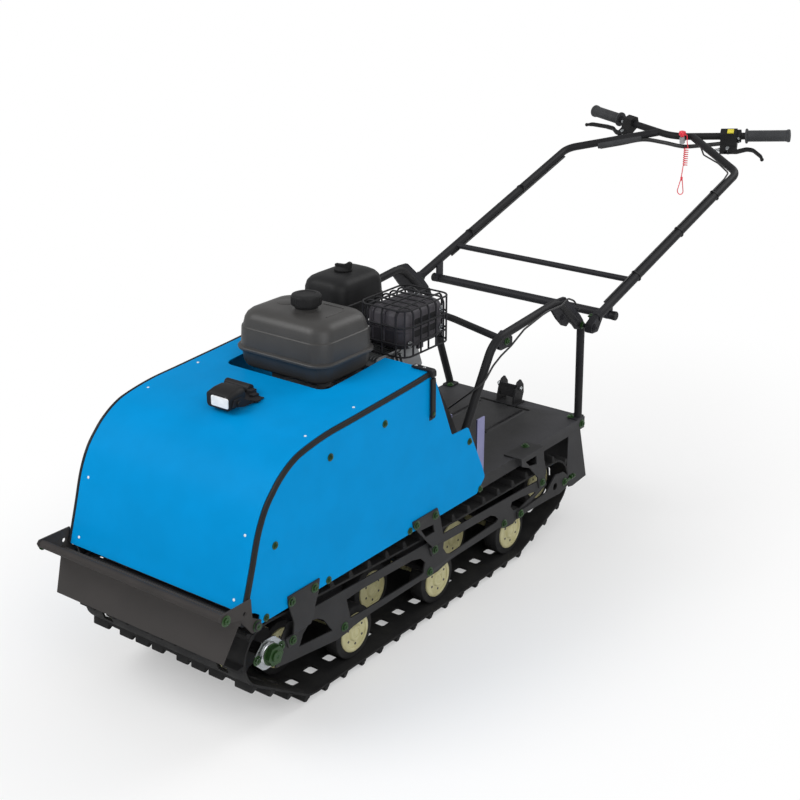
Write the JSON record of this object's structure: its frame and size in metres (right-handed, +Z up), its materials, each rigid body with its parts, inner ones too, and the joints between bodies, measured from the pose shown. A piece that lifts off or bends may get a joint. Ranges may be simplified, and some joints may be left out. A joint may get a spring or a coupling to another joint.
{
  "type": "tracked snow tow vehicle",
  "caption": "Motor-driven rubber-track snow tow vehicle with a tilting blue hood, engine, open deck, tow hitch and folding steering handle.",
  "frame": {"origin": "on the ground under the middle of the machine, on the flat tip of a track lug", "axes": "-Y is the front, +Z up, +X the machine's left when seen from the front"},
  "size_m": [0.7112, 2.5494, 0.9682],
  "materials": {
    "black": "satin black powder coat",
    "blue": "glossy blue paint",
    "track_rubber": "moulded rubber",
    "nylon": "cream moulded nylon with rubber tyre",
    "zinc": "zinc plated steel",
    "dark_steel": "dark pressed steel",
    "engine_alloy": "cast aluminium",
    "black_plastic": "moulded plastic",
    "tank_metal": "dark grey coated tank",
    "grip_rubber": "soft grip rubber",
    "red_plastic": "red plastic",
    "yellow_plastic": "yellow plastic",
    "lens": "white lamp lens"
  },
  "bodies": {
    "base": {"chassis": "black", "suspension_frame": "black", "side_plate_left": "black", "side_plate_right": "black", "side_panel_left": "blue", "side_panel_right": "blue", "track": "track_rubber", "axle_bearing_left": "zinc", "axle_bearing_right": "zinc", "tension_arm_left": "black", "tension_arm_right": "black", "bumper": "black", "rear_guard": "black", "engine_stand": "black", "engine_block": "engine_alloy", "fuel_tank": "tank_metal", "air_cleaner_base": "black_plastic", "air_cleaner_cover": "black_plastic", "muffler": "dark_steel", "muffler_guard": "black", "drive_belt": "track_rubber", "belt_guard": "black", "lower_frame": "black", "cable_lower": "black_plastic", "hitch_body": "black"},
    "hood": {"hood_sheet": "blue", "hood_trim_left": "black", "hood_trim_right": "black", "headlamp_bracket": "black"},
    "headlamp": {"headlamp_body": "black", "headlamp_lens": "lens"},
    "latch_left": {"hood_latch_left": "black"},
    "latch_right": {"hood_latch_right": "black"},
    "drive_axle": {"drive_axle": "nylon"},
    "rear_wheels": {"rear_wheels": "nylon"},
    "outer_wheels_1": {"outer_wheels_1": "nylon"},
    "outer_wheels_2": {"outer_wheels_2": "nylon"},
    "outer_wheels_3": {"outer_wheels_3": "nylon"},
    "inner_wheels_1": {"inner_wheels_1": "nylon"},
    "inner_wheels_2": {"inner_wheels_2": "nylon"},
    "inner_wheels_3": {"inner_wheels_3": "nylon"},
    "drive_clutch": {"drive_clutch": "zinc"},
    "cross_shaft": {"cross_shaft": "zinc"},
    "column": {"handle_column": "black", "handlebar": "black", "grip_left": "grip_rubber", "grip_right": "grip_rubber", "perch_left": "black_plastic", "perch_right": "black_plastic", "kill_switch": "black_plastic", "cable_upper": "black_plastic"},
    "lever_left": {"lever_left": "black_plastic"},
    "lever_right": {"lever_right": "black_plastic"},
    "starter_button": {"starter_button": "yellow_plastic"},
    "kill_cap": {"kill_cap": "red_plastic", "lanyard": "red_plastic"},
    "fuel_cap": {"fuel_cap": "black_plastic"},
    "air_cleaner_knob": {"air_cleaner_knob": "black_plastic"},
    "recoil_handle": {"recoil_handle": "black_plastic"},
    "hitch_pin": {"hitch_pin": "zinc"}
  },
  "joints": [
    {"name": "hood_tilt", "type": "hinge", "parent": "base", "child": "hood", "pos_m": [0, -0.598, 0.303], "axis": [1, 0, 0], "range_deg": [0, 20]},
    {"name": "headlamp_tilt", "type": "hinge", "parent": "hood", "child": "headlamp", "pos_m": [0, -0.374, 0.674], "axis": [1, 0, 0], "range_deg": [-12, 12]},
    {"name": "latch_right_swing", "type": "hinge", "parent": "hood", "child": "latch_right", "pos_m": [0.276, 0.03, 0.662], "axis": [0, -1, 0], "range_deg": [0, 110]},
    {"name": "latch_left_swing", "type": "hinge", "parent": "hood", "child": "latch_left", "pos_m": [-0.276, 0.03, 0.662], "axis": [0, 1, 0], "range_deg": [0, 110]},
    {"name": "drive_axle_spin", "type": "hinge", "parent": "base", "child": "drive_axle", "pos_m": [0, -0.534, 0.196], "axis": [1, 0, 0], "continuous": true},
    {"name": "rear_wheels_spin", "type": "hinge", "parent": "base", "child": "rear_wheels", "pos_m": [0, 0.641, 0.155], "axis": [1, 0, 0], "continuous": true},
    {"name": "outer_wheels_1_spin", "type": "hinge", "parent": "base", "child": "outer_wheels_1", "pos_m": [0, -0.213, 0.088], "axis": [1, 0, 0], "continuous": true},
    {"name": "inner_wheels_1_spin", "type": "hinge", "parent": "base", "child": "inner_wheels_1", "pos_m": [0, -0.371, 0.088], "axis": [1, 0, 0], "continuous": true},
    {"name": "outer_wheels_2_spin", "type": "hinge", "parent": "base", "child": "outer_wheels_2", "pos_m": [0, 0.1205, 0.088], "axis": [1, 0, 0], "continuous": true},
    {"name": "inner_wheels_2_spin", "type": "hinge", "parent": "base", "child": "inner_wheels_2", "pos_m": [0, -0.0245, 0.088], "axis": [1, 0, 0], "continuous": true},
    {"name": "outer_wheels_3_spin", "type": "hinge", "parent": "base", "child": "outer_wheels_3", "pos_m": [0, 0.454, 0.088], "axis": [1, 0, 0], "continuous": true},
    {"name": "inner_wheels_3_spin", "type": "hinge", "parent": "base", "child": "inner_wheels_3", "pos_m": [0, 0.322, 0.088], "axis": [1, 0, 0], "continuous": true},
    {"name": "engine_pulley_spin", "type": "hinge", "parent": "base", "child": "drive_clutch", "pos_m": [0, 0.01, 0.52], "axis": [1, 0, 0], "continuous": true},
    {"name": "cross_shaft_spin", "type": "hinge", "parent": "base", "child": "cross_shaft", "pos_m": [0, -0.25, 0.428], "axis": [1, 0, 0], "continuous": true},
    {"name": "column_fold", "type": "hinge", "parent": "base", "child": "column", "pos_m": [0, 0.722, 0.606], "axis": [1, 0, 0], "range_deg": [0, 110]},
    {"name": "lever_right_squeeze", "type": "hinge", "parent": "column", "child": "lever_right", "pos_m": [0.18089, 1.74571, 0.89176], "axis": [0.1041, -0.5676, 0.8167], "range_deg": [0, 9], "stiffness_Nm_per_rad": 0.6, "springref_deg": -5.73},
    {"name": "lever_left_squeeze", "type": "hinge", "parent": "column", "child": "lever_left", "pos_m": [-0.19231, 1.73997, 0.90133], "axis": [0.0287, 0.3485, -0.9369], "range_deg": [0, 9], "stiffness_Nm_per_rad": 0.6, "springref_deg": -5.73},
    {"name": "starter_button_press", "type": "slide", "parent": "column", "child": "starter_button", "axis": [-0.1041, 0.5676, -0.8167], "range_m": [0, 0.003], "stiffness_N_per_m": 300, "springref_m": -0.001},
    {"name": "kill_cap_pull", "type": "slide", "parent": "column", "child": "kill_cap", "axis": [0, 0, 1], "range_m": [0, 0.04]},
    {"name": "fuel_cap_turn", "type": "hinge", "parent": "base", "child": "fuel_cap", "pos_m": [-0.015, -0.075, 0.8083], "axis": [0, 0, 1], "range_deg": [0, 120]},
    {"name": "air_cleaner_knob_turn", "type": "hinge", "parent": "base", "child": "air_cleaner_knob", "pos_m": [-0.116, 0.185, 0.8173], "axis": [0, 0, 1], "range_deg": [0, 170]},
    {"name": "recoil_handle_pull", "type": "slide", "parent": "base", "child": "recoil_handle", "axis": [0, 1, 0], "range_m": [0, 0.4], "stiffness_N_per_m": 20, "springref_m": -0.01},
    {"name": "hitch_pin_pull", "type": "slide", "parent": "base", "child": "hitch_pin", "axis": [-1, 0, 0], "range_m": [0, 0.066]}
  ],
  "couplings": [
    {"joint": "rear_wheels_spin", "follows": "drive_axle_spin", "ratio": 1.0481},
    {"joint": "outer_wheels_1_spin", "follows": "drive_axle_spin", "ratio": 1.1308},
    {"joint": "inner_wheels_1_spin", "follows": "drive_axle_spin", "ratio": 1.1308},
    {"joint": "outer_wheels_2_spin", "follows": "drive_axle_spin", "ratio": 1.1308},
    {"joint": "inner_wheels_2_spin", "follows": "drive_axle_spin", "ratio": 1.1308},
    {"joint": "outer_wheels_3_spin", "follows": "drive_axle_spin", "ratio": 1.1308},
    {"joint": "inner_wheels_3_spin", "follows": "drive_axle_spin", "ratio": 1.1308},
    {"joint": "cross_shaft_spin", "follows": "engine_pulley_spin", "ratio": 0.65644}
  ]
}
